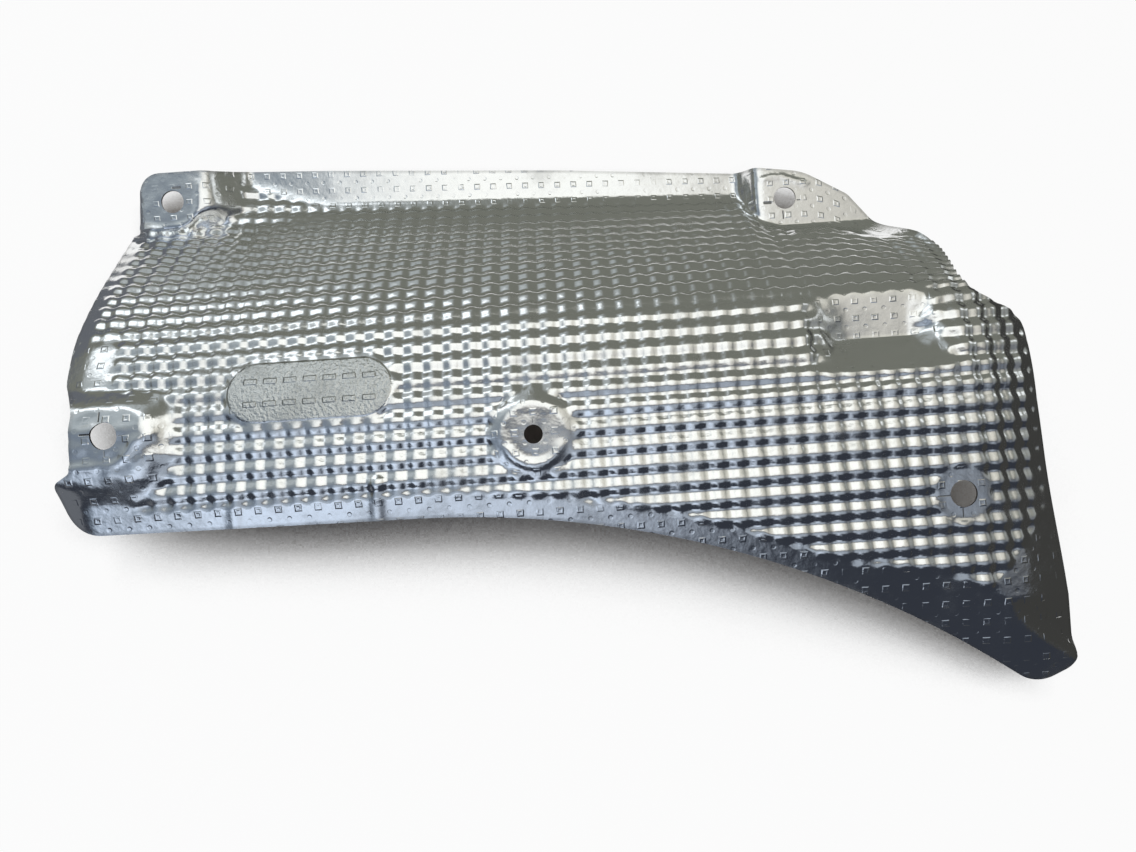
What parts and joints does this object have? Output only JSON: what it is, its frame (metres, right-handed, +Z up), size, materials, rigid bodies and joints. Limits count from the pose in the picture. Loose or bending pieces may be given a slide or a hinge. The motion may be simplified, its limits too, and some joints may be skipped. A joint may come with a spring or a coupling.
{
  "type": "embossed firewall heat shield",
  "caption": "Pressed one-piece embossed aluminium heat shield for an engine bay, with a sloped wall, flanges, corner pads, fixing holes and a locating hole.",
  "frame": {"origin": "middle of the footprint, on the floor that the shield rests on with its outer face up", "axes": "+X along the longer side towards the lower tip, +Y towards the folded ledge, +Z up, out of the embossed outer face"},
  "size_m": [0.3565, 0.2323, 0.0568],
  "materials": {
    "embossed_sheet": "bright embossed sheet with light scratches and smudges"
  },
  "bodies": {
    "root": {"heat_shield": "embossed_sheet"}
  },
  "joints": []
}
